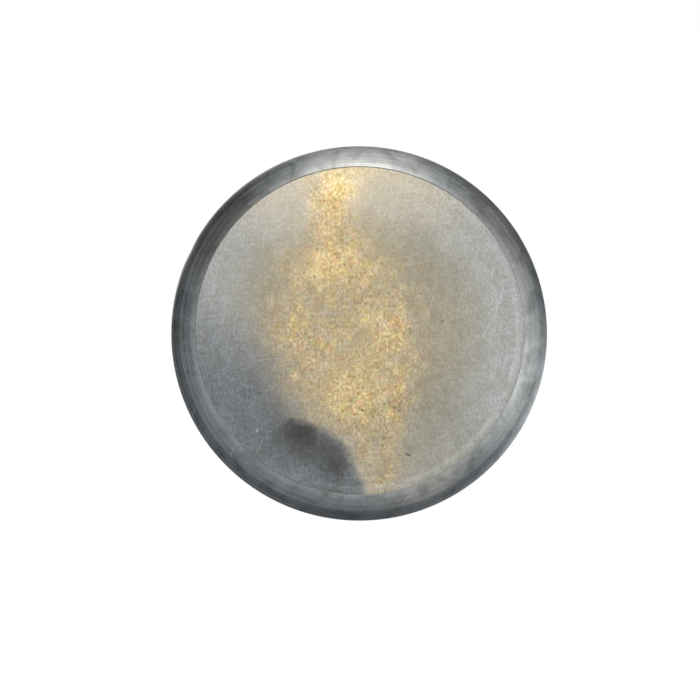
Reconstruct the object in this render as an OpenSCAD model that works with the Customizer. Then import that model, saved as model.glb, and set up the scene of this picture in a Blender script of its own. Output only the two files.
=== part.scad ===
// Plain pewter tumbler: a spun wall, a struck base disc let into its foot from below,
// and the ring of soft solder that joins the two.
// The cup stands on its base with its axis on Z. The origin is the middle of the standing face.

/* [Cup] */
// Outside diameter across the lip
lip_d = 76; // [70:0.5:84]
// Height from the standing face to the top of the lip
cup_h = 72; // [60:0.5:90]
// Outside radius of the heel, where the wall turns in under the cup
heel_r = 4.5; // [3:0.25:8]

/* [Wall] */
// Thickness of the spun wall
wall_t = 1.3; // [0.9:0.1:1.8]
// Thickness of the burnished lip
lip_t = 1.9; // [1.4:0.1:2.6]
// Height over which the wall thickens into the lip
lip_h = 9; // [5:0.5:16]
// Radius of the corner between the wall and the ledge, inside the cup
inner_heel_r = 3; // [2:0.25:5]

/* [Base disc] */
// Diameter of the base disc
disc_d = 56; // [48:0.5:60]
// Thickness of the base disc
disc_t = 1.2; // [0.9:0.1:2]
// Rise of the shallow dish in the middle of the disc
dish_h = 0.35; // [0.1:0.05:0.8]
// Width of the flat ring, round the dish, that the cup stands on
stand_w = 4; // [3.5:0.25:7]

/* [Solder joint] */
// Width of the body's ledge that laps over the disc
ledge_w = 2.4; // [1.5:0.1:2.6]
// Thickness of the ledge
ledge_t = 0.8; // [0.5:0.1:1.4]
// Thickness of the solder film between the disc and the body
film_t = 0.1; // [0.05:0.05:0.2]
// How far the solder line is set back from the standing face
seam_sink = 0.15; // [0.05:0.05:0.4]
// Width of the body's own flat rim outside the disc
land_w = 0.4; // [0.2:0.1:1]

/* [Hidden] */
pewter = [0.62, 0.61, 0.57];
sheet_pewter = [0.66, 0.62, 0.53];
solder_grey = [0.5, 0.51, 0.52];
$fa = 1.5;
$fs = 0.25;
// How far a cutting shape runs past the face that it cuts
over = 1;
// Sides of the very large circles that shape the dish
dish_fn = 7200;
// How far a straight face lies inside a circle that it runs into, so that the two cross cleanly
tuck = 0.005;

// Levels and radii of the base joint
disc_r = disc_d / 2;
pocket_r = disc_r + film_t;
pocket_h = disc_t + film_t;
ledge_r = disc_r - ledge_w;
floor_z = pocket_h + ledge_t;
dish_r = disc_r - stand_w;
fillet_r = floor_z - disc_t;

// Section points are [radius, height]. The outside of the wall is the straight line that
// touches both the heel circle and the lip circle.
function polar(a) = [cos(a), sin(a)];
function bearing(v) = atan2(v[1], v[0]);
heel_c = [pocket_r + land_w, heel_r];
lip_r = lip_t / 2;
lip_c = [lip_d / 2 - lip_r, cup_h - lip_r];
wall_run = lip_c - heel_c;
wall_a = bearing(wall_run) - acos((heel_r - lip_r) / norm(wall_run));
wall_out = polar(wall_a);
wall_up = polar(wall_a + 90);
heel_touch = heel_c + (heel_r - tuck) * wall_out;
lip_touch = lip_c + (lip_r - tuck) * wall_out;

// The inside of the wall runs parallel to the outside, then leans in to meet the lip.
inner_c_z = floor_z + inner_heel_r;
inner_c_r = heel_touch[0]
    - (wall_t + inner_heel_r + (inner_c_z - heel_touch[1]) * wall_out[1]) / wall_out[0];
inner_c = [inner_c_r, inner_c_z];
inner_corner = inner_c + (inner_heel_r - tuck) * wall_out;
thicken = inner_corner + wall_up * (cup_h - lip_h - inner_corner[1]) / wall_up[1];
to_lip = lip_c - thicken;
mouth_up = polar(bearing(to_lip) + asin((lip_r - tuck) / norm(to_lip)));
mouth_top = thicken + mouth_up * (cup_h + over - thicken[1]) / mouth_up[1];

// Radius of the sphere that a shallow cap of rise h on a circle of radius r belongs to
function cap_radius(r, h) = (r * r + h * h) / (2 * h);

module body_outside() {
    polygon([[0, 0], [heel_c[0], 0], heel_touch, lip_touch, lip_c, [0, lip_c[1]]]);
    translate(heel_c) circle(heel_r);
    translate(lip_c) circle(lip_r);
}

module body_inside() {
    low = floor_z + tuck;
    polygon([[0, low], [inner_c[0], low], inner_corner, thicken, mouth_top, [0, mouth_top[1]]]);
    translate(inner_c) circle(inner_heel_r);
}

// The seat for the disc is turned into the foot from below, and stops at a thin ledge.
module disc_seat() {
    translate([0, -over]) square([pocket_r, pocket_h + over]);
    square([ledge_r, floor_z + over]);
}

module cup_body() {
    color(pewter)
        rotate_extrude()
            difference() {
                body_outside();
                body_inside();
                disc_seat();
            }
}

// A shallow cap of the dish, standing on the level z
module dish_cap(z) {
    cap_r = cap_radius(dish_r, dish_h);
    intersection() {
        translate([0, z + dish_h - cap_r]) circle(cap_r, $fn = dish_fn);
        translate([0, z]) square([disc_r, dish_h]);
    }
}

module base_disc() {
    color(sheet_pewter)
        rotate_extrude() {
            difference() {
                square([disc_r, disc_t]);
                dish_cap(0);
            }
            dish_cap(disc_t);
        }
}

// Solder stands in the upright gap, fills the lap and ends in a hollow fillet inside the cup.
module solder_seam() {
    color(solder_grey)
        rotate_extrude() {
            translate([disc_r, seam_sink]) square([film_t, pocket_h - seam_sink]);
            translate([ledge_r, disc_t]) square([pocket_r - ledge_r, film_t]);
            difference() {
                translate([ledge_r - fillet_r, disc_t]) square(fillet_r);
                translate([ledge_r - fillet_r, disc_t + fillet_r]) circle(fillet_r);
            }
        }
}

cup_body();
base_disc();
solder_seam();
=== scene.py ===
import math

import bpy
import numpy as np
from mathutils import Matrix, Vector


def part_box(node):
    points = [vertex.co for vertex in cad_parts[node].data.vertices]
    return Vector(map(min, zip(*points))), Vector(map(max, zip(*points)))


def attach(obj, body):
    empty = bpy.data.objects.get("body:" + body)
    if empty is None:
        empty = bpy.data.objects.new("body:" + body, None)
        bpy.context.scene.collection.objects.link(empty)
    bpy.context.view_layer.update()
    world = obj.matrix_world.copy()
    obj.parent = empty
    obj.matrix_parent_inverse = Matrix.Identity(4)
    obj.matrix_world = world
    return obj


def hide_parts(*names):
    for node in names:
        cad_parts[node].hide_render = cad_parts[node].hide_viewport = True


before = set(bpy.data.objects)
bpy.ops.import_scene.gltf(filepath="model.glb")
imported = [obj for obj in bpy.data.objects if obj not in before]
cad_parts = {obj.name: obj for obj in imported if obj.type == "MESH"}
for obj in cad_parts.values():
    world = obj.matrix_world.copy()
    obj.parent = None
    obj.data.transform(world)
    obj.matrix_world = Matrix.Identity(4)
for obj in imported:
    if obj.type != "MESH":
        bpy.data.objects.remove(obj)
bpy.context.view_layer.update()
mm = 0.001  # sections and marks are written in millimetres, meshes are in metres
quarterTurn = math.pi / 2
fullTurn = 2 * math.pi
onAxis = 1e-6  # a section that starts nearer to the axis than this has poles
lastShift = 6  # largest shift drawn for a wave, in radians


def boxMm(node):
    low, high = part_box(node)
    return np.array(low) / mm, np.array(high) / mm


def addObject(name, data):
    made = bpy.data.objects.new(name, data)
    bpy.context.scene.collection.objects.link(made)
    return made


bodyHigh = boxMm("cup_body")[1]
discHigh = boxMm("base_disc")[1]
seamLow, seamHigh = boxMm("solder_seam")
print("frame loaded, cup is", round(bodyHigh[0] * 2, 2), "mm across and", round(bodyHigh[2], 2), "mm high")

# Camera: below the cup, so that image right is +X and image down is +Y
view = {
    "imageSize": (700, 698),
    "baseAt": (360, 328),  # pixel of the base's middle
    "basePixels": 165,  # radius of the base disc in pixels
    "tilt": math.radians(4),  # between the line of sight and the cup's axis
    "tiltTowards": math.radians(97),  # way the mouth leans in the picture, from right over down
    "lens": 36.0,
    "sensor": 36.0,
    "clip": (0.005, 50),  # metres
}


def setCamera():
    perMm = view["basePixels"] / discHigh[0]
    distance = view["lens"] / view["sensor"] * view["imageSize"][0] / perMm
    middle = np.array(view["imageSize"]) / 2
    aim = np.append((middle - view["baseAt"]) / perMm, 0.0)
    tilt, lean = view["tilt"], view["tiltTowards"]
    sight = Vector((-math.sin(tilt) * math.cos(lean), -math.sin(tilt) * math.sin(lean), math.cos(tilt)))
    up = Vector((0, -1, 0))
    up = (up - up.dot(sight) * sight).normalized()
    right = sight.cross(up)
    data = bpy.data.cameras.new("photoView")
    data.lens = view["lens"]
    data.sensor_width = view["sensor"]
    data.clip_start, data.clip_end = view["clip"]
    camera = addObject("photoView", data)
    place = Vector(aim * mm) - sight * (distance * mm)
    turn = Matrix((right, up, -sight)).transposed()
    camera.matrix_world = Matrix.Translation(place) @ turn.to_4x4()
    bpy.context.scene.camera = camera
    print("camera set", round(distance, 1), "mm from the base")


setCamera()


# Sections and meshes
def polar(angle):
    return np.array([math.cos(angle), math.sin(angle)])


def arcRun(centre, radius, start, stop, count):
    # circle: centre + radius * (cos a, sin a), with a going evenly from start to stop
    a = np.linspace(start, stop, count)
    return np.asarray(centre) + radius * np.column_stack([np.cos(a), np.sin(a)])


def lineRun(start, stop, count):
    # straight: (1 - t) * start + t * stop, with both ends left to the neighbours
    t = np.linspace(0, 1, count + 2)[1:-1, None]
    return (1 - t) * np.asarray(start) + t * np.asarray(stop)


def joinRuns(runs):
    section = np.vstack([np.atleast_2d(points) for points, mark in runs])
    zone = np.concatenate([np.full(len(np.atleast_2d(points)), float(mark)) for points, mark in runs])
    return section, zone


def addPiece(name, points, corners, totals, uv, attributes):
    mesh = bpy.data.meshes.new(name)
    mesh.vertices.add(len(points))
    mesh.vertices.foreach_set("co", (points * mm).astype(np.float32).ravel())
    mesh.loops.add(len(corners))
    mesh.loops.foreach_set("vertex_index", corners.astype(np.int32))
    mesh.polygons.add(len(totals))
    starts = np.cumsum(totals) - totals
    mesh.polygons.foreach_set("loop_start", starts.astype(np.int32))
    mesh.update(calc_edges=True)
    mesh.polygons.foreach_set("use_smooth", np.ones(len(totals), bool))
    layer = mesh.uv_layers.new(name="turnAndArc")
    layer.data.foreach_set("uv", uv.astype(np.float32).ravel())
    for key, values in attributes.items():
        layer = mesh.attributes.new(key, "FLOAT", "POINT")
        layer.data.foreach_set("value", values.astype(np.float32))
    mesh.validate()
    return addObject(name, mesh)


def sectionNormals(section, poles):
    # the way along the section, turned a quarter to its right
    ahead, behind = np.roll(section, -1, 0), np.roll(section, 1, 0)
    if poles:
        ahead[-1], behind[0] = section[-1], section[0]
    tangent = ahead - behind
    tangent /= np.linalg.norm(tangent, axis=1, keepdims=True)
    return np.column_stack([tangent[:, 1], -tangent[:, 0]])


def cornerRow(quads, poles):
    # corners of all faces one after another; a quad next to a pole drops the corner it has twice
    parts = [quads[0][:, [0, 2, 3]], quads[1:-1], quads[-1][:, :3]] if poles else [quads]
    return np.concatenate([part.reshape(-1, *quads.shape[3:]) for part in parts])


def revolve(name, section, zone, columns, push):
    # surface(row, turn) = (radius * cos turn, radius * sin turn, height), moved by push along the
    # section's normal. A section that starts and ends on the axis gets a pole at each end,
    # and any other section is a closed loop.
    rows = len(section)
    poles = section[0, 0] < onAxis
    turn = np.linspace(0, fullTurn, columns, endpoint=False)
    step = np.linalg.norm(np.diff(section, axis=0), axis=1)
    arc = np.append(0, np.cumsum(step))
    outward = sectionNormals(section, poles)
    offset = push(section, arc, turn)
    radius = section[:, :1] + outward[:, :1] * offset
    height = section[:, 1:] + outward[:, 1:] * offset
    grid = np.stack([radius * np.cos(turn), radius * np.sin(turn), height], -1)
    index = np.arange(rows * columns).reshape(rows, columns)
    inRow = np.full(rows, columns)  # vertices of each row
    if poles:
        inRow[[0, -1]] = 1
        index = index - columns + 1
        index[0], index[-1] = 0, (rows - 2) * columns + 1
        points = np.vstack([grid[:1].mean(1), grid[1:-1].reshape(-1, 3), grid[-1:].mean(1)])
        low, high = index[:-1], index[1:]
        arcLow, arcHigh = arc[:-1], arc[1:]
        totals = np.repeat([3, 4, 3], [columns, (rows - 3) * columns, columns])
    else:
        points = grid.reshape(-1, 3)
        low, high = index, np.roll(index, -1, 0)
        arcLow, arcHigh = arc, np.append(arc[1:], arc[-1] + np.linalg.norm(section[0] - section[-1]))
        totals = np.full(rows * columns, 4)
    faces = np.stack([low, np.roll(low, -1, 1), np.roll(high, -1, 1), high], -1)
    left = np.broadcast_to(np.arange(columns) / columns, low.shape)
    right = left + 1 / columns
    bottom = np.broadcast_to(arcLow[:, None] / arc[-1], low.shape)
    top = np.broadcast_to(arcHigh[:, None] / arc[-1], low.shape)
    ends = ((left, bottom), (right, bottom), (right, top), (left, top))
    uv = np.stack([np.stack(end, -1) for end in ends], 2)
    attributes = {"arcMm": np.repeat(arc, inRow), "zone": np.repeat(zone, inRow)}
    return addPiece(name, points, cornerRow(faces, poles), totals, cornerRow(uv, poles), attributes)


def settle(piece, node, material):
    piece.data.materials.append(material)
    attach(piece, "root")
    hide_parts(node)
    print(piece.name, "made with", len(piece.data.polygons), "faces")


# Shading helpers
origin = (0, 0, 0)
flat = (1, 1, 0)  # factor that takes the height out of a place
half = (0.5, 0.5, 0.5)


def tone(red, green, blue):
    # screen colour from 0 to 255 as the linear colour of a socket, by the sRGB curve
    c = np.array([red, green, blue]) / 255
    light = np.where(c <= 0.04045, c / 12.92, ((c + 0.055) / 1.055) ** 2.4)
    return (*light.tolist(), 1.0)


def feed(socket, value):
    if isinstance(value, bpy.types.NodeSocket):
        socket.id_data.links.new(value, socket)
    else:
        socket.default_value = value


def addNode(tree, kind, values=None, **settings):
    made = tree.nodes.new("ShaderNode" + kind)
    for key, value in settings.items():
        setattr(made, key, value)
    for key, value in (values or {}).items():
        feed(made.inputs[key], value)
    return made


def follow(kind, values, **settings):
    # node in the same tree as the sockets among its values
    tree = next(value.id_data for value in values.values() if isinstance(value, bpy.types.NodeSocket))
    return addNode(tree, kind, values, **settings)


def calc(operation, *values):
    return follow("Math", dict(enumerate(values)), operation=operation).outputs[0]


def times(first, second):
    return calc("MULTIPLY", first, second)


def ramp(value, slope, start):
    # value * slope + start
    return calc("MULTIPLY_ADD", value, slope, start)


def centred(value):
    return calc("SUBTRACT", value, 0.5)


def larger(first, second):
    return calc("MAXIMUM", first, second)


def vectorCalc(operation, first, second, output="Vector"):
    return follow("VectorMath", {0: first, 1: second}, operation=operation).outputs[output]


def scaled(vector, factor):
    return follow("VectorMath", {0: vector, "Scale": factor}, operation="SCALE").outputs[0]


def lengthOf(vector):
    return follow("VectorMath", {0: vector}, operation="LENGTH").outputs["Value"]


def turned(vector, angle):
    values = {"Vector": vector, "Angle": angle}
    return follow("VectorRotate", values, rotation_type="Z_AXIS").outputs[0]


def partsOf(vector):
    return follow("SeparateXYZ", {0: vector}).outputs


def attribute(material, name):
    return addNode(material.node_tree, "Attribute", attribute_name=name).outputs["Fac"]


def noise(vector, scale, detail=2.0, roughness=0.5, distortion=0.0, output="Fac"):
    values = {"Vector": vector, "Scale": scale, "Detail": detail, "Roughness": roughness,
              "Distortion": distortion}
    return follow("TexNoise", values).outputs[output]


def smooth(value, start, stop, low=0.0, high=1.0):
    values = {"Value": value, "From Min": start, "From Max": stop, "To Min": low, "To Max": high}
    return follow("MapRange", values, interpolation_type="SMOOTHSTEP").outputs["Result"]


def blend(amount, first, second, mode="MIX"):
    values = {0: amount, 6: first, 7: second}
    return follow("Mix", values, data_type="RGBA", blend_type=mode).outputs[2]


def colourTimes(colour, factor):
    return blend(1.0, colour, factor, "MULTIPLY")


def startGroup(name, inputs, outputs):
    # inputs: label and default, a number or a vector; outputs: label and kind
    tree = bpy.data.node_groups.new(name, "ShaderNodeTree")
    for label, value in inputs.items():
        kind = "Vector" if isinstance(value, tuple) else "Float"
        socket = tree.interface.new_socket(label, in_out="INPUT", socket_type="NodeSocket" + kind)
        socket.default_value = value
    for label, kind in outputs.items():
        tree.interface.new_socket(label, in_out="OUTPUT", socket_type="NodeSocket" + kind)
    given = tree.nodes.new("NodeGroupInput").outputs
    result = tree.nodes.new("NodeGroupOutput").inputs
    return tree, given, result


def useGroup(group, values):
    return follow("Group", values, node_tree=group).outputs


# Soft patch: exp(-|(point - centre) / size| squared), for worn spots and painted light and shade
def softPatchGroup():
    tree, given, result = startGroup(
        "softPatch",
        {"Vector": origin, "Centre": origin, "Size": (1, 1, 1)},
        {"Mask": "Float"})
    away = vectorCalc("SUBTRACT", given["Vector"], given["Centre"])
    share = vectorCalc("DIVIDE", away, given["Size"])
    square = vectorCalc("DOT_PRODUCT", share, share, "Value")
    feed(result["Mask"], calc("EXPONENT", times(square, -1.0)))
    return tree


# Satin grain: height = 0.5 + fine share * (fine noise - 0.5) + (cloudy noise - 0.5), with shallower
# hollows, and 1 + channel * Depth * (height - 0.5) as a factor for the colour
grainForm = {
    "fineShare": 1.5,
    "cloudyScale": 0.15,  # against the fine noise's scale
    "hollows": 0.7,  # depth of the hollows against the tops
    "channels": (1.75, 2.0, 2.5),  # the factor is a little stronger in blue
}


def satinGrainGroup():
    tree, given, result = startGroup(
        "satinGrain",
        {"Vector": origin, "Scale": 2.0, "Depth": 0.5},
        {"Height": "Float", "Factor": "Color"})
    fine = noise(given["Vector"], given["Scale"], roughness=0.6, distortion=0.3)
    wide = times(given["Scale"], grainForm["cloudyScale"])
    cloudy = noise(given["Vector"], wide, roughness=0.9)
    swing = ramp(centred(fine), grainForm["fineShare"], centred(cloudy))
    swing = larger(swing, times(swing, grainForm["hollows"]))
    factor = scaled(grainForm["channels"], times(swing, given["Depth"]))
    factor = vectorCalc("ADD", factor, (1, 1, 1))
    feed(result["Height"], calc("ADD", swing, 0.5))
    feed(result["Factor"], vectorCalc("MAXIMUM", factor, origin))
    return tree


# Mottle: 1 + Light * (noise - 0.5) + Tint * (finer noise of its own in each channel - 0.5),
# as a factor for the colour
def mottleGroup():
    tree, given, result = startGroup(
        "mottle",
        {"Vector": origin, "Scale": 1.0, "Light": 0.1, "Tint": 0.05},
        {"Factor": "Color"})
    layers = {"detail": 3.0, "roughness": 0.6}
    finer = times(given["Scale"], 1.4)
    pale = noise(given["Vector"], given["Scale"], **layers)
    pale = ramp(centred(pale), given["Light"], 1.0)
    specks = noise(given["Vector"], finer, **layers, output="Color")
    hue = scaled(vectorCalc("SUBTRACT", specks, half), given["Tint"])
    feed(result["Factor"], vectorCalc("ADD", hue, pale))
    return tree


# Tarnish clouds: many-layered noise, cut to a soft mask between Low and High; on the base it also breaks up
# the painted reflection and shadow
def tarnishCloudsGroup():
    tree, given, result = startGroup(
        "tarnishClouds",
        {"Vector": origin, "Scale": 0.1, "Low": 0.4, "High": 0.65},
        {"Mask": "Float"})
    cloud = noise(given["Vector"], given["Scale"], detail=6.0, roughness=0.58, distortion=0.5)
    feed(result["Mask"], smooth(cloud, given["Low"], given["High"]))
    return tree


# One scratch: |across - bend * along squared| under Width, and |along| under half of Length
def oneScratchGroup():
    tree, given, result = startGroup(
        "oneScratch",
        {"Vector": origin, "Place": origin, "Angle": 0.0, "Length": 1.0, "Width": 0.05, "Bend": 0.0},
        {"Mask": "Float"})
    core, fullRun = 0.3, 0.5  # shares of width and half length with the scratch at its full strength
    away = vectorCalc("SUBTRACT", given["Vector"], given["Place"])
    parts = partsOf(turned(away, times(given["Angle"], -1.0)))
    along, across = parts["X"], parts["Y"]
    bow = times(times(along, along), given["Bend"])
    side = calc("ABSOLUTE", calc("SUBTRACT", across, bow))
    reach = times(given["Length"], 0.5)
    line = smooth(side, given["Width"], times(given["Width"], core))
    ends = smooth(calc("ABSOLUTE", along), reach, times(reach, fullRun))
    feed(result["Mask"], times(line, ends))
    return tree


# Stray scratches: each Voronoi cell may hold one scratch at its own angle, and Chance of the cells do
strayForm = {  # slope and start of each over a number from 0 to 1 that the cell draws
    "length": (0.8, 0.2),
    "bend": (0.8, -0.4),
}


def strayScratchesGroup(oneScratch):
    tree, given, result = startGroup(
        "strayScratches",
        {"Vector": origin, "Scale": 0.12, "Length": 0.7, "Width": 0.01, "Chance": 0.5},
        {"Mask": "Float"})
    spread = scaled(given["Vector"], given["Scale"])
    cell = follow("TexVoronoi", {"Vector": spread, "Scale": 1.0}, voronoi_dimensions="2D").outputs
    draw = follow("SeparateColor", {0: cell["Color"]}).outputs
    scratch = useGroup(oneScratch, {
        "Vector": vectorCalc("SUBTRACT", spread, cell["Position"]),
        "Angle": times(draw["Red"], fullTurn),
        "Length": times(given["Length"], ramp(draw["Green"], *strayForm["length"])),
        "Width": given["Width"],
        "Bend": ramp(draw["Green"], *strayForm["bend"])})
    shown = calc("LESS_THAN", draw["Blue"], given["Chance"])
    feed(result["Mask"], times(scratch["Mask"], shown))
    return tree


# Turned lines: noise along one distance only, faded in and out round the cup by noise in space
lineForm = {
    "fadeScale": 0.07,
    "fade": (0.3, 0.65, 0.35, 1.0),  # fading noise from and to, strength from and to
}


def turnedLinesGroup():
    tree, given, result = startGroup(
        "turnedLines",
        {"Vector": origin, "Distance": 0.0, "Pitch": 0.5},
        {"Height": "Float"})
    values = {"W": calc("DIVIDE", given["Distance"], given["Pitch"]),
              "Scale": 1.0, "Detail": 3.0, "Roughness": 0.6}
    line = follow("TexNoise", values, noise_dimensions="1D").outputs["Fac"]
    fade = noise(given["Vector"], lineForm["fadeScale"], detail=1.0)
    strength = smooth(fade, *lineForm["fade"])
    feed(result["Height"], ramp(centred(line), strength, 0.5))
    return tree


softPatch = softPatchGroup()
satinGrain = satinGrainGroup()
mottle = mottleGroup()
tarnishClouds = tarnishCloudsGroup()
oneScratch = oneScratchGroup()
strayScratches = strayScratchesGroup(oneScratch)
turnedLines = turnedLinesGroup()
print("node groups made")


# Parts that the materials share
def startMetal(name):
    material = bpy.data.materials.new(name)
    material.use_nodes = True
    shader = material.node_tree.nodes["Principled BSDF"]
    feed(shader.inputs["Metallic"], 1.0)
    place = scaled(addNode(material.node_tree, "TexCoord").outputs["Object"], 1 / mm)
    return material, shader, place


def addRoughness(shader, amounts, values):
    # start + the sum of value * amount, by name
    rough = amounts["start"]
    for key, value in values.items():
        rough = ramp(value, amounts[key], rough)
    feed(shader.inputs["Roughness"], rough)


def addBump(shader, depths, heights):
    # heights and their depths in millimetres by name, each laid over the one before
    normal = None
    for key, height in heights.items():
        values = {"Height": height, "Distance": depths[key] * mm, "Strength": 1.0}
        if normal is not None:
            values["Normal"] = normal
        normal = follow("Bump", values).outputs["Normal"]
    feed(shader.inputs["Normal"], normal)


def cloudMask(place, form):
    return useGroup(tarnishClouds, {"Vector": place, **form})["Mask"]


def wanderBy(place, scale, detail, width):
    # flat vector: (noise of its own in each axis - 0.5) * width
    draw = noise(place, scale, detail, output="Color")
    away = scaled(vectorCalc("SUBTRACT", draw, half), width)
    return vectorCalc("MULTIPLY", away, flat)


def markMask(place, marks):
    # largest of scratch * strength
    total = 0.0
    for spot, angle, length, width, bend, strength in marks:
        mask = useGroup(oneScratch, {
            "Vector": place, "Place": (*spot, 0), "Angle": math.radians(angle),
            "Length": length, "Width": width, "Bend": bend})["Mask"]
        total = larger(times(mask, strength), total)
    return total


def strayMask(place, strays):
    # largest of scratches * strength;
    # strays: (cells per mm, length and half width in cells, share of the cells, strength)
    total = 0.0
    for scale, length, width, chance, strength in strays:
        mask = useGroup(strayScratches, {
            "Vector": place, "Scale": scale, "Length": length, "Width": width, "Chance": chance})["Mask"]
        total = larger(times(mask, strength), total)
    return total


def spotMask(place, spots):
    # sum of soft patch * amount, at most 1
    total = 0.0
    for middle, size, amount in spots:
        values = {"Vector": place, "Centre": (*middle, 0), "Size": (*size, 1)}
        total = ramp(useGroup(softPatch, values)["Mask"], amount, total)
    return calc("MINIMUM", total, 1.0)


def layColours(place, colour, layers):
    # layers: (tone, soft spots), each laid over the one before
    for hue, spots in layers:
        colour = blend(spotMask(place, spots), colour, hue)
    return colour


# Base disc: a struck sheet with a shallow dish, let into the foot
baseDisc = {
    "standWidth": 4.0,  # flat ring that the cup stands on
    "dishRise": 0.35,
    "sheetThick": 1.2,
    "edgeRound": 0.06,
    "columns": 360,
    "dishRows": 110,
    "backRows": 36,
    "wave": 0.022,  # height of the sheet's slow unevenness
    "waveLengths": (9.0, 13.0, 17.0, 23.0),
    "waveFade": 6,  # width inside the standing ring over which the waves set in
    "waveSeed": 11,
    "dings": [  # middle, width, depth
        (14.1, -1.2, 0.55, 0.05), (0.3, 13.9, 0.6, 0.045), (4.8, 14.6, 0.5, 0.04),
        (8.1, 21.4, 0.7, 0.06), (-10.2, -16.5, 0.8, 0.05), (17.5, -14.0, 0.7, 0.035)],
}
below, above = 0.0, 1.0  # zones of the disc


def baseSection():
    # dish: sphere cap through the middle and the dish's rim, then flat ring, rounded edge and top face
    d = baseDisc
    radius, thick, edge = discHigh[0], d["sheetThick"], d["edgeRound"]
    dish = radius - d["standWidth"]
    sphere = (dish ** 2 + d["dishRise"] ** 2) / (2 * d["dishRise"])

    def capRun(start, stop, level, count):
        out = np.linspace(start, stop, count)
        return np.column_stack([out, level + np.sqrt(sphere ** 2 - out ** 2) - (sphere - d["dishRise"])])

    return joinRuns([
        (capRun(0, dish, level=0, count=d["dishRows"]), below),
        (lineRun((dish, 0), (radius - edge, 0), count=24), below),
        (arcRun((radius - edge, edge), edge, -quarterTurn, 0, count=7), below),
        (lineRun((radius, edge), (radius, thick), count=3), above),
        ((radius, thick), above),
        (lineRun((radius, thick), (dish, thick), count=8), above),
        (capRun(dish, 0, level=thick, count=d["backRows"]), above),
    ])


def basePush(section, arc, turn):
    # slow waves: sum of cosines in straight directions, faded out at the standing ring;
    # dings are round hollows
    d = baseDisc
    draw = np.random.default_rng(d["waveSeed"])
    x, y = section[:, :1] * np.cos(turn), section[:, :1] * np.sin(turn)
    rise = np.zeros_like(x)
    for length in d["waveLengths"]:
        way, start = draw.uniform(0, fullTurn, 2)
        rise += np.cos((x * np.cos(way) + y * np.sin(way)) * fullTurn / length + start)
    rise *= d["wave"] / len(d["waveLengths"])
    dish = discHigh[0] - d["standWidth"]
    fade = np.clip((dish - section[:, :1]) / d["waveFade"], 0, 1) ** 2
    offset = rise * fade
    for dingX, dingY, wide, deep in d["dings"]:
        offset -= deep * np.exp(-((x - dingX) ** 2 + (y - dingY) ** 2) / wide ** 2)
    under = section[:, 1:] < d["sheetThick"] / 2
    return offset * under


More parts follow.
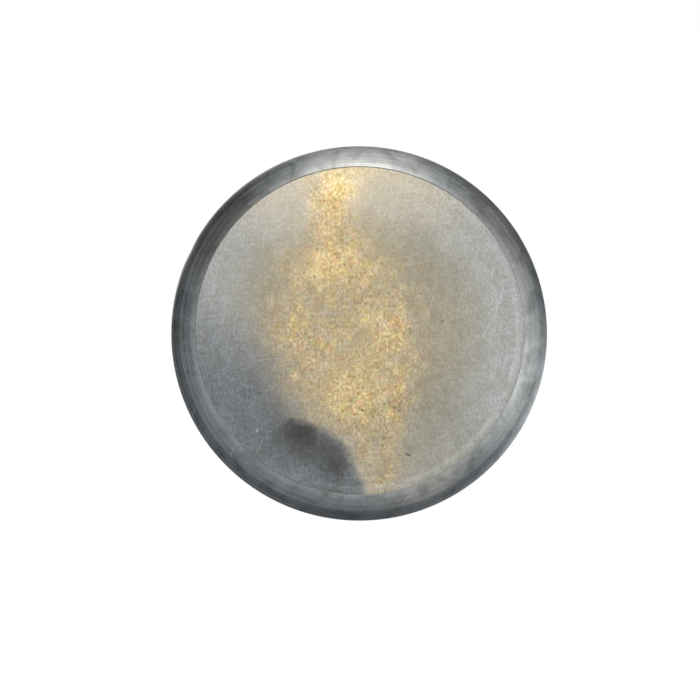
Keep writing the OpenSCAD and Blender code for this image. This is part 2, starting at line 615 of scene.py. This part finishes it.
baseFinish = {
    "plain": tone(152, 147, 132),
    # cool grey towards the edge: painted reflection of cool light
    "rim": tone(165, 168, 167),
    "rimFrom": (15.0, 25.0, 0.0, 0.85),  # distance out from and to, amount from and to
    "wander": {"scale": 0.16, "detail": 4.0, "width": 6.0},  # noise that pulls the painted light and shade patches out of shape
    "clouds": {"Scale": 0.22, "Low": 0.34, "High": 0.66},
    "underLayers": [  # tone, then soft spots as (middle, size, amount); painted reflected light, lighter at the top and darker elsewhere
        (tone(188, 180, 166), [((-14, -22.5), (9, 6.5), 0.75), ((10, -22.5), (9, 7), 0.7)]),
        (tone(132, 135, 136), [((-28, 4), (10, 11), 0.8)]),
        (tone(140, 137, 125), [((11.5, 16.5), (8, 8), 0.65), ((-15.5, -9.5), (7.5, 7), 0.62),
                               ((9, -12), (6, 6.5), 0.55)]),
        (tone(149, 147, 136), [((13, 22), (8, 6), 0.7)]),
        (tone(158, 149, 127), [((4, 23.5), (5.5, 7), 0.8)]),
    ],
    # painted reflection of warm light down the middle of the base, with slow changes of hue
    "warm": tone(184, 163, 124),
    "warmFlecks": [  # hue, and where its noise starts
        (tone(206, 160, 120), origin), (tone(212, 188, 112), (40, 10, 0)),
        (tone(158, 152, 124), (-30, 50, 0))],
    "fleckScale": 0.5,
    "fleckEdge": (0.47, 0.66, 0.0, 0.55),  # noise from and to, amount from and to
    "warmSpots": [
        ((-2.8, -0.8), (14.5, 18.0), 1.0), ((-4.8, -22.5), (3.9, 9.0), 0.9),
        ((2.6, 14.5), (4.9, 8.0), 0.6), ((6.5, 9.5), (9.0, 10.0), 0.12),
        ((3.2, 24.8), (3.9, 6.5), 0.6)],
    "warmEdge": (0.12, 0.88),  # sums of the spots between which the painted warm reflection sets in
    "warmLevel": 0.5,
    "warmClouds": 0.3,  # how much the clouds change that level
    "warmBlots": [
        ((-4.8, -23.5), (3.2, 6.5), 0.42), ((-5.0, -10.8), (6.5, 4.0), 0.36),
        ((5.6, 0.3), (4.0, 4.5), 0.34), ((-4.0, 12.5), (9.0, 5.0), 0.36),
        ((-13.0, 0.5), (3.5, 4.5), 0.3), ((-3.0, -16.0), (4.5, 2.5), -0.12),
        ((3.5, 24.0), (5.0, 6.0), -0.14)],
    # painted highlights in the warm reflection, brightest in a streak at its top
    "overLayers": [
        (tone(222, 198, 144), [((4.8, 1.2), (3.6, 4.5), 0.25), ((-0.6, 9.6), (6, 5), 0.28),
                               ((-4.5, -10.6), (6.5, 4), 0.35)]),
        (tone(220, 203, 165), [((-4, -27), (7, 7), 0.6), ((2, -28), (12, 5), 0.4)]),
        (tone(216, 182, 124), [((-4.8, -22.0), (1.8, 6.0), 0.4)]),
        (tone(244, 218, 146), [((-3.2, -24.4), (1.5, 1.8), 0.45)]),
    ],
    # painted shadow over the lower left of the base
    "shade": tone(106, 110, 114),
    "shadow": {  # round edge of the painted shadow
        "middle": (-15, 31), "radius": 16.4,
        "edge": (-0.6, 1.0),  # depths behind the edge, against its softness
        "softness": (-11.0, -19.0, 1.3, 6.0)},  # X from and to, softness from and to
    "shadowSide": {  # its soft straight edge to the left
        "point": (-15.4, 2.4), "way": (-0.94, 0.34, 0),
        "edge": (-3.5, 5.0),  # distances past the edge
        "from": (-6.5, 13.0)},  # Y over which it sets in
    "shadowWander": 0.3,  # share of the painted patches' wander
    "ragged": {"scale": 0.55, "detail": 3.0, "width": 2.0},  # finer noise on the shadow's edges
    "shadowClouds": (0.12, 0.86),  # slope and start over the clouds
    # dark cores of the painted shadow, also the tone of the dark marks
    "deepShadeAndMarks": tone(58, 57, 54),
    "deepSpots": [((-10.2, 17.8), (4.4, 4.4), 0.92), ((-4.6, 23.0), (3.6, 3.4), 0.76)],
    "paleInShade": (tone(128, 135, 136), [((-12, 25.6), (7, 3.2), 0.42), ((-22, 15), (5, 6), 0.25)]),
    "grain": {"stretch": (1.0, 0.7, 1.0), "scale": 2.5, "depth": 0.34, "inShade": 0.15, "inWarm": 0.66},
    "mottle": {"scale": 0.9, "light": 0.14, "inShade": 0.3,
               "tint": (0.0, 0.6, 0.12, 0.36)},  # liveliness from and to, tint from and to
    "brushed": [(8, 0.35), (-52, 0.3), (80, 0.25)],  # way of the fine hairs in degrees, and how strong
    "hairStretch": (0.14, 3.0, 1.0),
    "hairRoughness": 0.7,
    "worn": tone(208, 211, 210),
    "rubbedSpots": [((24, 10), (14, 16), 1.0), ((8, 26), (12, 8), 0.6)],
    "wornRing": {"out": 26.9, "edge": (0.8, 0.1), "amount": 0.35},
    "streaks": {"pitch": 0.3, "from": (22.0, 27.0), "edge": (0.5, 0.7), "amount": 0.4},
    "strays": [(0.13, 0.8, 0.009, 0.55, 0.3), (0.33, 0.6, 0.02, 0.35, 0.24)],
    "lightMarks": [  # middle, way in degrees, length, half width, bend, strength
        ((23.2, -3.0), 112, 12.5, 0.14, 0.026, 0.32), ((22.7, -9.8), 114, 2.2, 0.12, 0, 0.6),
        ((5.4, -23.6), 90, 0.9, 0.13, 0, 0.8), ((-17.3, 17.3), 120, 0.8, 0.13, 0, 0.8),
        ((-21.6, 21.2), 128, 1.2, 0.15, 0, 0.7), ((-16.6, 25.0), 135, 1.0, 0.14, 0, 0.7),
        ((-25.3, 12.0), 70, 1.6, 0.1, 0, 0.4), ((14.1, 18.2), 150, 2.0, 0.09, 0.05, 0.5),
        ((18.3, 19.7), 175, 2.4, 0.09, 0.03, 0.45)],
    "darkMarks": [
        ((4.9, 12.5), 86, 1.7, 0.12, 0, 0.45), ((8.1, 21.4), 30, 1.1, 0.24, 0, 0.65),
        ((14.1, -1.2), 75, 0.7, 0.25, 0, 0.5), ((0.3, 13.9), 15, 0.9, 0.22, 0, 0.6)],
    "inside": tone(214, 213, 208),
    "insideStain": tone(194, 192, 185),
    "insideAmounts": {"clouds": 0.55, "lines": 0.5, "hairs": 0.6, "ridges": 0.5},
    "rough": {"start": 0.28, "grain": 0.2, "worn": -0.1, "shade": 0.06},
    "depths": {"lines": 0.02, "grain": 0.03, "cuts": 0.03},
}


def paintedWarmReflection(place, loose, cloud):
    # painted reflection of warm light; mask: soft spots down the middle, times a level that clouds and
    # blots raise and lower
    f = baseFinish
    edge = smooth(spotMask(loose, f["warmSpots"]), *f["warmEdge"])
    level = ramp(centred(cloud), f["warmClouds"], f["warmLevel"])
    level = calc("ADD", level, spotMask(loose, f["warmBlots"]))
    gold = f["warm"]
    for hue, start in f["warmFlecks"]:
        fleck = noise(vectorCalc("ADD", place, start), f["fleckScale"])
        gold = blend(smooth(fleck, *f["fleckEdge"]), gold, hue)
    return times(edge, calc("MINIMUM", level, 1.0)), gold


def paintedShadow(lean, place, cloud):
    # painted shadow. Mask: the larger of (radius - distance) / softness and the distance past a straight
    # edge, each cut to a soft step, times a little of the clouds
    f = baseFinish
    shadow, side = f["shadow"], f["shadowSide"]
    parts = partsOf(place)
    reach = vectorCalc("DISTANCE", lean, (*shadow["middle"], 0), "Value")
    behind = calc("SUBTRACT", shadow["radius"], reach)
    behind = calc("DIVIDE", behind, smooth(parts["X"], *shadow["softness"]))
    past = vectorCalc("SUBTRACT", lean, (*side["point"], 0))
    past = vectorCalc("DOT_PRODUCT", past, side["way"], "Value")
    aside = times(smooth(past, *side["edge"]), smooth(parts["Y"], *side["from"]))
    mask = larger(smooth(behind, *shadow["edge"]), aside)
    return times(mask, ramp(cloud, *f["shadowClouds"]))


def satinFinish(place, colour, warm, shade):
    # the grain and its mottle show most in the painted warm reflection, where they are its painted glints,
    # and long fine hairs lie over all of it
    f = baseFinish
    grain, spotted = f["grain"], f["mottle"]
    lively = larger(calc("SUBTRACT", warm, shade), 0.0)
    depth = ramp(shade, grain["inShade"], grain["depth"])
    satin = useGroup(satinGrain, {
        "Vector": vectorCalc("MULTIPLY", place, grain["stretch"]),
        "Scale": grain["scale"],
        "Depth": ramp(lively, grain["inWarm"], depth)})
    colour = colourTimes(colour, satin["Factor"])
    specks = useGroup(mottle, {
        "Vector": place,
        "Scale": spotted["scale"],
        "Light": ramp(shade, spotted["inShade"], spotted["light"]),
        "Tint": smooth(lively, *spotted["tint"])})
    colour = colourTimes(colour, specks["Factor"])
    for angle, amount in f["brushed"]:
        along = vectorCalc("MULTIPLY", turned(place, math.radians(angle)), f["hairStretch"])
        hairs = noise(along, 1.0, roughness=f["hairRoughness"])
        colour = colourTimes(colour, ramp(centred(hairs), amount, 1.0))
    return colour, satin["Height"]


def edgeWear(place, colour, out, cloud, lines):
    # pale on the standing ring where it rubs most, and in turned streaks near it
    f = baseFinish
    ring, streaks = f["wornRing"], f["streaks"]
    rubbed = spotMask(place, f["rubbedSpots"])
    away = calc("ABSOLUTE", calc("SUBTRACT", out, ring["out"]))
    worn = times(smooth(away, *ring["edge"]), times(cloud, rubbed))
    colour = blend(times(worn, ring["amount"]), colour, f["worn"])
    nearEdge = times(smooth(out, *streaks["from"]), rubbed)
    streaked = times(smooth(lines, *streaks["edge"]), nearEdge)
    colour = blend(times(streaked, streaks["amount"]), colour, f["worn"])
    return colour, worn, nearEdge


def discInside(cloud, lines, hair):
    # cleaner metal with faint stains, turned lines and hairs
    f = baseFinish
    amounts = f["insideAmounts"]
    colour = blend(times(cloud, amounts["clouds"]), f["inside"], f["insideStain"])
    colour = colourTimes(colour, ramp(centred(lines), amounts["lines"], 1.0))
    return blend(times(hair, amounts["hairs"]), colour, f["worn"])


def basePewter():
    f = baseFinish
    material, shader, solid = startMetal("basePewter")
    place = vectorCalc("MULTIPLY", solid, flat)
    out = lengthOf(place)
    within = attribute(material, "zone")
    drift = wanderBy(place, **f["wander"])
    loose = vectorCalc("ADD", place, drift)
    lean = vectorCalc("ADD", place, scaled(drift, f["shadowWander"]))
    lean = vectorCalc("ADD", lean, wanderBy(place, **f["ragged"]))
    cloud = cloudMask(place, f["clouds"])
    pitch = f["streaks"]["pitch"]
    lines = useGroup(turnedLines, {"Vector": place, "Distance": out, "Pitch": pitch})["Height"]

    # painted cool reflection towards the edge
    colour = blend(smooth(out, *f["rimFrom"]), f["plain"], f["rim"])
    # painted patches of reflected light
    colour = layColours(loose, colour, f["underLayers"])
    # painted warm reflection
    warm, gold = paintedWarmReflection(place, loose, cloud)
    colour = blend(warm, colour, gold)
    # painted highlights
    colour = layColours(loose, colour, f["overLayers"])
    # painted shadow, with darker cores and paler spots in it
    shade = paintedShadow(lean, place, cloud)
    colour = blend(shade, colour, f["shade"])
    deep = times(spotMask(lean, f["deepSpots"]), shade)
    colour = blend(deep, colour, f["deepShadeAndMarks"])
    paler, spots = f["paleInShade"]
    colour = blend(times(spotMask(loose, spots), shade), colour, paler)
    colour, grainHeight = satinFinish(place, colour, warm, shade)
    colour, worn, nearEdge = edgeWear(place, colour, out, cloud, lines)

    hair = strayMask(place, f["strays"])
    light = markMask(place, f["lightMarks"])
    dark = markMask(place, f["darkMarks"])
    colour = blend(larger(hair, light), colour, f["worn"])
    colour = blend(dark, colour, f["deepShadeAndMarks"])
    colour = blend(within, colour, discInside(cloud, lines, hair))
    feed(shader.inputs["Base Color"], colour)

    addRoughness(shader, f["rough"], {"grain": grainHeight, "worn": worn, "shade": shade})
    ridges = times(lines, ramp(within, f["insideAmounts"]["ridges"], nearEdge))
    cuts = calc("SUBTRACT", 1.0, larger(hair, larger(light, dark)))
    addBump(shader, f["depths"], {"lines": ridges, "grain": grainHeight, "cuts": cuts})
    return material


discPiece = revolve("baseDisc", *baseSection(), baseDisc["columns"], basePush)
settle(discPiece, "base_disc", basePewter())

# Spun body: wall, heel and lip turned from one blank, with a rebate below for the disc
spunBody = {
    "heelRadius": 4.5,
    "landWidth": 0.4,  # flat rim outside the disc
    "wallThick": 1.3,
    "lipThick": 1.9,
    "lipHeight": 9.0,  # over which the wall thickens
    "innerHeelRadius": 3.0,
    "ledgeWidth": 2.4,
    "seatDepth": 1.3,
    "edgeRound": 0.05,
    "columns": 300,
    "ridge": 0.007,  # height of the tool's ridges round the heel
    "ridgeLengths": (0.52, 0.83, 1.37),
    "ridgeReach": 4.5,  # height at which about a third of them is left
    "ridgeStart": 1.2,  # distance from the disc over which they set in
    "ridgeWaves": [(3, 0.3, 1.0), (7, 0.2, 0.0)],  # waves round the cup, share, shift
    "ridgeSeed": 5,
    "sway": 0.035,  # how far the lip is out of round
    "swayWaves": [(2, 1.0, 0.6), (3, 0.5, 1.9)],
    "dings": [  # degrees round the cup, height, width, depth
        (205, 3.2, 1.6, 0.1), (38, 21.0, 2.6, 0.07), (121, 46.0, 3.4, 0.06), (292, 9.0, 1.8, 0.06)],
}
joint, outside, lipZone, inside = 0.0, 1.0, 2.0, 3.0  # zones of the body


def bodySection():
    # outside: heel circle, the line that touches heel and lip circles, lip circle;
    # inside: back down in parallel
    b = spunBody
    pocket, floor, edge, seat = seamHigh[0], seamHigh[2], b["edgeRound"], b["seatDepth"]
    lipR, heelR, innerR = b["lipThick"] / 2, b["heelRadius"], b["innerHeelRadius"]
    heel = np.array([pocket + b["landWidth"], heelR])
    lip = np.array([bodyHigh[0] - lipR, bodyHigh[2] - lipR])
    run = lip - heel
    lean = math.atan2(run[1], run[0]) - math.acos((heelR - lipR) / np.linalg.norm(run))
    out, up = polar(lean), polar(lean + quarterTurn)
    heelTouch, lipTouch = heel + heelR * out, lip + lipR * out
    innerZ = floor + innerR
    innerX = heelTouch[0] - (b["wallThick"] + innerR + (innerZ - heelTouch[1]) * out[1]) / out[0]
    inner = np.array([innerX, innerZ])
    corner = inner + innerR * out
    thicken = corner + up * (bodyHigh[2] - b["lipHeight"] - corner[1]) / up[1]
    toLip = lip - thicken
    mouth = math.atan2(toLip[1], toLip[0]) + math.asin(lipR / np.linalg.norm(toLip)) + quarterTurn
    mouthTouch = lip + lipR * polar(mouth)
    ledge = discHigh[0] - b["ledgeWidth"]
    return joinRuns([
        (arcRun((pocket + edge, edge), edge, math.pi, math.pi * 1.5, count=7), outside),
        (arcRun(heel, heelR, -quarterTurn, lean, count=84), outside),
        (lineRun(heelTouch, lipTouch, count=84), outside),
        (arcRun(lip, lipR, lean, mouth, count=30), lipZone),
        (lineRun(mouthTouch, thicken, count=12), inside),
        (thicken, inside),
        (lineRun(thicken, corner, count=60), inside),
        (arcRun(inner, innerR, lean, -quarterTurn, count=22), inside),
        (lineRun((innerX, floor), (ledge + edge, floor), count=5), inside),
        (arcRun((ledge + edge, floor - edge), edge, quarterTurn, math.pi, count=6), inside),
        (lineRun((ledge, floor - edge), (ledge, seat), count=2), joint),
        ((ledge, seat), joint),
        (lineRun((ledge, seat), (pocket, seat), count=3), joint),
        ((pocket, seat), joint),
        (lineRun((pocket, seat), (pocket, edge), count=3), joint),
    ])


bodyRows, bodyZone = bodySection()


def roundWaves(turn, waves, wave, start):
    # start + sum of share * wave(count * turn + shift)
    total = start
    for count, share, shift in waves:
        total = total + share * wave(count * turn + shift)
    return total


def bodyPush(section, arc, turn):
    # ridges: sum of sines along the section, strongest on the heel;
    # sway: two and three waves round the lip, that grow with the square of the height;
    # dings: round hollows on the outside that stand out again inside
    b = spunBody
    draw = np.random.default_rng(b["ridgeSeed"])
    height = section[:, 1:]
    outer = (bodyZone == outside)[:, None]
    inner = (bodyZone == inside)[:, None]
    ridges = sum(np.sin(arc * fullTurn / length + draw.uniform(0, lastShift))
                 for length in b["ridgeLengths"])[:, None]
    wavy = roundWaves(turn, b["ridgeWaves"], np.sin, 1)
    onHeel = np.exp(-(height / b["ridgeReach"]) ** 2) * np.clip(arc[:, None] / b["ridgeStart"], 0, 1)
    offset = outer * onHeel * b["ridge"] * ridges * wavy
    lobes = roundWaves(turn, b["swayWaves"], np.cos, 0)
    most = sum(share for count, share, shift in b["swayWaves"])
    sway = -b["sway"] * (1 + lobes / most) / 2 * (height / bodyHigh[2]) ** 2
    offset = offset + np.where(inner, -1, 1) * sway * (bodyZone != lipZone)[:, None]
    for angle, level, wide, deep in b["dings"]:
        aside = (turn - math.radians(angle) + np.pi) % fullTurn - np.pi
        hollow = deep * np.exp(-((aside * section[:, :1]) ** 2 + (height - level) ** 2) / wide ** 2)
        offset = offset - outer * hollow + inner * hollow
    return offset


bodyFinish = {
    "grazing": (0.45, 0.45, 0.45, 1),  # dull at the grazing edge
    "wall": tone(184, 184, 180),
    "inside": tone(222, 221, 217),
    "cloud": tone(164, 162, 156),
    "largeClouds": {"Scale": 0.05, "Low": 0.4, "High": 0.72},
    "smallClouds": {"Scale": 0.3, "Low": 0.4, "High": 0.75},
    "cloudAmounts": (0.5, 0.2),  # of the large and the small ones
    "grain": {"Scale": 2.2, "Depth": 0.16},
    "linePitch": 0.35,
    "heelUnder": tone(120, 125, 127),  # painted reflection next to the disc
    "heelUnderLayers": [  # tone and its soft spots, seen from below: painted light and dark reflections round the heel
        (tone(84, 84, 84), [((-26, -19), (12, 13), 1.2)]),
        (tone(168, 167, 161), [((14, 29), (9, 7), 0.9), ((30, -9), (7, 8), 0.6)]),
        (tone(126, 127, 125), [((24, -20), (8, 7), 0.9)]),
        (tone(188, 191, 188), [((30, 9), (10, 13), 1.1)]),
        (tone(208, 209, 207), [((2.0, -32), (13, 8), 1.4)]),
    ],
    "heelOuter": tone(80, 84, 88),  # painted dark reflection and shade where the heel turns up
    "heelOuterLayers": [
        (tone(62, 63, 64), [((-26, -20), (13, 13), 1.1), ((-32, 3), (7, 8), 0.7)]),
        (tone(70, 73, 76), [((-3, 32), (9, 8), 0.8)]),
        (tone(94, 95, 94), [((24, -20), (10, 9), 0.8)]),
        (tone(148, 153, 155), [((30, 9), (9, 12), 1.1)]),
        (tone(150, 152, 152), [((2.0, -32), (13, 8), 1.2)]),
    ],
    "heelFall": (26.8, 32.8),  # distances from the axis between which the first changes to the second
    "heelRings": 1.3,  # strength of the turned lines in the painted heel shading
    "heelBlots": (-0.45, 1.12),  # slope and start over the small clouds
    "heelTop": (8.0, 2.2),  # heights between which the painted heel shading sets in downwards
    "burnished": tone(208, 208, 204),
    "burnish": 0.7,
    "lipEdge": (0.9, 0.3),  # zone numbers to either side of the lip's
    "insideFrom": (0.2, 0.8),  # zone numbers past the lip's
    "scratch": tone(220, 221, 219),
    "streaks": {"edge": (0.52, 0.72), "amount": 0.2},
    "unrolled": (220.0, 150.0, 0.0),  # millimetres round the cup and along its section
    "strays": [(0.1, 0.7, 0.006, 0.45, 1.0)],
    "strayAmount": 0.4,
    "rough": {"start": 0.26, "grain": 0.12, "cloud": 0.06, "lip": -0.1},
    "depths": {"lines": 0.012, "grain": 0.008, "cuts": 0.01},
}


def paintedHeelReflections(place, lines, small):
    # painted reflections and shade: one tone next to the disc and another where the heel turns up, times
    # turned rings and blots
    f = bodyFinish
    under = layColours(place, f["heelUnder"], f["heelUnderLayers"])
    outer = layColours(place, f["heelOuter"], f["heelOuterLayers"])
    colour = blend(smooth(lengthOf(place), *f["heelFall"]), under, outer)
    rings = ramp(centred(lines), f["heelRings"], 1.0)
    return colourTimes(colour, times(rings, ramp(small, *f["heelBlots"])))


def spunPewter():
    f = bodyFinish
    streaks = f["streaks"]
    material, shader, place = startMetal("spunPewter")
    feed(shader.inputs["Specular Tint"], f["grazing"])
    fromLip = calc("SUBTRACT", attribute(material, "zone"), lipZone)
    within = smooth(fromLip, *f["insideFrom"])
    lip = smooth(calc("ABSOLUTE", fromLip), *f["lipEdge"])
    grain = useGroup(satinGrain, {"Vector": place, **f["grain"]})
    cloud = cloudMask(place, f["largeClouds"])
    small = cloudMask(place, f["smallClouds"])
    lines = useGroup(turnedLines, {
        "Vector": place, "Distance": attribute(material, "arcMm"), "Pitch": f["linePitch"]})["Height"]

    colour = blend(within, f["wall"], f["inside"])
    largeAmount, smallAmount = f["cloudAmounts"]
    clouded = ramp(cloud, largeAmount, times(small, smallAmount))
    colour = blend(clouded, colour, f["cloud"])
    # painted reflections on the heel and painted shade near the floor
    heelShading = paintedHeelReflections(vectorCalc("MULTIPLY", place, flat), lines, small)
    low = smooth(partsOf(place)["Z"], *f["heelTop"])
    colour = blend(times(low, calc("SUBTRACT", 1.0, within)), colour, heelShading)
    colour = blend(times(lip, f["burnish"]), colour, f["burnished"])
    streaked = times(smooth(lines, *streaks["edge"]), streaks["amount"])
    colour = blend(streaked, colour, f["scratch"])
    uv = addNode(material.node_tree, "UVMap", uv_map="turnAndArc").outputs["UV"]
    stray = strayMask(vectorCalc("MULTIPLY", uv, f["unrolled"]), f["strays"])
    colour = blend(times(stray, f["strayAmount"]), colour, f["scratch"])
    feed(shader.inputs["Base Color"], colourTimes(colour, grain["Factor"]))

    addRoughness(shader, f["rough"], {"grain": grain["Height"], "cloud": cloud, "lip": lip})
    cuts = calc("SUBTRACT", 1.0, stray)
    addBump(shader, f["depths"], {"lines": lines, "grain": grain["Height"], "cuts": cuts})
    return material


bodyPiece = revolve("spunBody", bodyRows, bodyZone, spunBody["columns"], bodyPush)
settle(bodyPiece, "cup_body", spunPewter())

# Solder: thin film between disc and foot, with a hollow fillet inside the cup
solderSeam = {
    "swell": 0.12,  # how far the solder stands past the CAD's sunk line
    "bead": (-0.012, 0.04),  # mean and swing of its crown, flush at the rubbed side and sunk opposite
    "beadTowards": math.radians(50),
    "ripple": 0.03,
    "rippleCounts": (9, 17, 31, 53),  # waves round the cup
    "rippleSeed": 3,
    "columns": 300,
}
hidden, filletZone, crownZone = 0.0, 1.0, 2.0  # zones of the solder


def seamSection():
    # upright film, lap under the ledge, and a quarter circle hollow from the ledge's top down to the disc
    disc, pocket, floor, bottom = discHigh[0], seamHigh[0], seamHigh[2], seamLow[2] - solderSeam["swell"]
    thick, seat = baseDisc["sheetThick"], spunBody["seatDepth"]
    ledge = disc - spunBody["ledgeWidth"]
    fillet = floor - thick
    return joinRuns([
        ((disc, bottom), hidden),
        (lineRun((disc, bottom), (pocket, bottom), count=3), crownZone),
        ((pocket, bottom), hidden),
        ((pocket, seat), hidden),
        ((ledge, seat), hidden),
        ((ledge, floor), filletZone),
        (arcRun((ledge - fillet, floor), fillet, 0, -quarterTurn, count=14)[1:], filletZone),
        ((disc, thick), hidden),
    ])


seamRows, seamZone = seamSection()


def seamPush(section, arc, turn):
    # ripple: sum of sines round the cup, only on the open fillet;
    # crown below: mean + swing * cos(turn - side)
    s = solderSeam
    draw = np.random.default_rng(s["rippleSeed"])
    waves = sum(np.sin(turn * count + draw.uniform(0, lastShift)) for count in s["rippleCounts"])
    waves = waves / len(s["rippleCounts"])
    mean, swing = s["bead"]
    crown = mean + swing * np.cos(turn - s["beadTowards"])
    rippled = s["ripple"] * (seamZone == filletZone)[:, None] * waves
    return rippled + (seamZone == crownZone)[:, None] * crown


solderFinish = {
    "plain": tone(112, 113, 114),
    "cloud": tone(88, 89, 90),
    "clouds": {"Scale": 0.25, "Low": 0.4, "High": 0.7},
    "rubbed": tone(172, 174, 171),
    "rubbedSpots": [((26, 10), (13, 20), 1.4), ((6, 28), (16, 9), 0.8), ((-24, 14), (10, 14), 0.4)],
    "grain": {"Scale": 1.6, "Depth": 0.4},
    "rough": {"start": 0.35, "grain": 0.25},
    "depths": {"grain": 0.03},
}


def softSolder():
    f = solderFinish
    material, shader, place = startMetal("softSolder")
    grain = useGroup(satinGrain, {"Vector": place, **f["grain"]})
    cloud = cloudMask(place, f["clouds"])
    colour = blend(cloud, f["plain"], f["cloud"])
    rubbed = spotMask(vectorCalc("MULTIPLY", place, flat), f["rubbedSpots"])
    colour = blend(rubbed, colour, f["rubbed"])
    feed(shader.inputs["Base Color"], colourTimes(colour, grain["Factor"]))
    addRoughness(shader, f["rough"], {"grain": grain["Height"]})
    addBump(shader, f["depths"], {"grain": grain["Height"]})
    return material


seamPiece = revolve("solderSeam", seamRows, seamZone, solderSeam["columns"], seamPush)
settle(seamPiece, "solder_seam", softSolder())

# Stage: a pale floor seen only from above, so that the base stays open to the camera below.
# Its sizes are in metres.
stage = {
    "white": (1, 1, 1, 1),
    "floorSize": 8.0,
    "floorLevel": -0.00005,
    "floorColour": (0.86, 0.86, 0.85, 1),
    "floorRough": 0.9,
    "floorFade": (0.10, 0.55),  # distances from the cup between which it turns into the white room
    "reach": (0.006, 0.001),  # lengths between which reflections start to pass through it
    "worldFill": 0.6,
    "cardRing": (0.048, 1.5),  # radii of the ring of cards
    "cardColumns": 96,
    "cardLevel": 0.0004,
    "cardGlow": (0.3, 1.0),  # of the dark and the light lobes
    "cardCount": 3.0,
    "cardTurn": 4.71,  # radians
    "cardEdge": (-0.5, 0.5),  # cosines between which a dark lobe turns light
}


def stageSheet(name, points, faces):
    mesh = bpy.data.meshes.new(name)
    mesh.from_pydata(points.tolist(), [], faces.tolist())
    made = addObject(name, mesh)
    material = bpy.data.materials.new(name)
    material.use_nodes = True
    mesh.materials.append(material)
    return made, material.node_tree


def setSurface(tree, output, amount, first, second):
    mixed = addNode(tree, "MixShader", {0: amount, 1: first.outputs[0], 2: second.outputs[0]})
    feed(tree.nodes[output].inputs["Surface"], mixed.outputs[0])


def makeFloor():
    # square on the ground; from below, and to short reflections, it is clear
    reach, level = stage["floorSize"] / 2, stage["floorLevel"]
    corners = np.array([[-reach, -reach, level], [reach, -reach, level],
                        [reach, reach, level], [-reach, reach, level]])
    floor, tree = stageSheet("paleFloor", corners, np.array([[0, 1, 2, 3]]))
    floor.visible_shadow = False
    shader = tree.nodes["Principled BSDF"]
    feed(shader.inputs["Base Color"], stage["floorColour"])
    feed(shader.inputs["Roughness"], stage["floorRough"])
    path = addNode(tree, "LightPath").outputs
    away = lengthOf(addNode(tree, "TexCoord").outputs["Object"])
    seen = larger(path["Is Camera Ray"], path["Is Glossy Ray"])
    fade = times(smooth(away, *stage["floorFade"]), seen)
    white = addNode(tree, "Emission", {"Strength": 1.0})
    pale = addNode(tree, "MixShader", {0: fade, 1: shader.outputs[0], 2: white.outputs[0]})
    passing = times(smooth(path["Ray Length"], *stage["reach"]), path["Is Glossy Ray"])
    unseen = larger(passing, addNode(tree, "NewGeometry").outputs["Backfacing"])
    setSurface(tree, "Material Output", unseen, pale, addNode(tree, "BsdfTransparent"))


def makeCards():
    # flat ring on the floor with light and dark lobes, that only reflections see
    columns = stage["cardColumns"]
    turn = np.linspace(0, fullTurn, columns, endpoint=False)
    ring = np.column_stack([np.cos(turn), np.sin(turn), np.zeros(columns)])
    lift = np.array([0, 0, stage["cardLevel"]])
    inner, outer = (ring * radius + lift for radius in stage["cardRing"])
    here = np.arange(columns)
    after = np.roll(here, -1)
    cards, tree = stageSheet("floorCards", np.vstack([inner, outer]),
                             np.column_stack([here, here + columns, after + columns, after]))
    for key in ("visible_camera", "visible_shadow", "visible_diffuse", "visible_transmission"):
        setattr(cards, key, False)
    parts = partsOf(addNode(tree, "TexCoord").outputs["Object"])
    angle = calc("ARCTAN2", parts["Y"], parts["X"])
    lobes = calc("COSINE", ramp(angle, stage["cardCount"], stage["cardTurn"]))
    glow = addNode(tree, "Emission", {"Strength": smooth(lobes, *stage["cardEdge"], *stage["cardGlow"])})
    under = addNode(tree, "NewGeometry").outputs["Backfacing"]
    setSurface(tree, "Material Output", under, glow, addNode(tree, "BsdfTransparent"))


def makeWorld():
    world = bpy.data.worlds.new("softRoom")
    bpy.context.scene.world = world
    world.use_nodes = True
    tree = world.node_tree
    path = addNode(tree, "LightPath").outputs
    seen = larger(path["Is Camera Ray"], path["Is Glossy Ray"])
    seen = larger(seen, path["Is Transmission Ray"])
    backdrop = tree.nodes["Background"]
    feed(backdrop.inputs["Color"], stage["white"])
    fill = addNode(tree, "Background", {"Color": stage["white"], "Strength": stage["worldFill"]})
    setSurface(tree, "World Output", seen, fill, backdrop)


lamps = {
    "baseStrip": {"at": (-0.015, -0.13, -0.5), "aim": (0, 0, 0), "size": (0.08, 0.26), "watts": 0.1,
                  "colour": (1.0, 0.94, 0.84)},
    "topKey": {"at": (-0.7, -0.8, 1.1), "aim": (0, 0, 0.03), "size": (1.2, 1.2), "watts": 8.0,
               "colour": (1.0, 0.99, 0.97)},
    "topFill": {"at": (0.9, 0.5, 0.9), "aim": (0, 0, 0.03), "size": (1.0, 1.0), "watts": 3.0,
                "colour": (0.97, 0.98, 1.0)},
}


def makeLamps():
    for name, lamp in lamps.items():
        data = bpy.data.lights.new(name, "AREA")
        data.shape = "RECTANGLE"
        data.size, data.size_y = lamp["size"]
        data.energy = lamp["watts"]
        data.color = lamp["colour"]
        made = addObject(name, data)
        made.location = lamp["at"]
        made.rotation_euler = (Vector(lamp["aim"]) - Vector(lamp["at"])).to_track_quat("-Z", "Y").to_euler()


makeFloor()
makeCards()
makeWorld()
makeLamps()
bpy.context.scene.view_settings.view_transform = "Standard"
print("stage and lamps set")
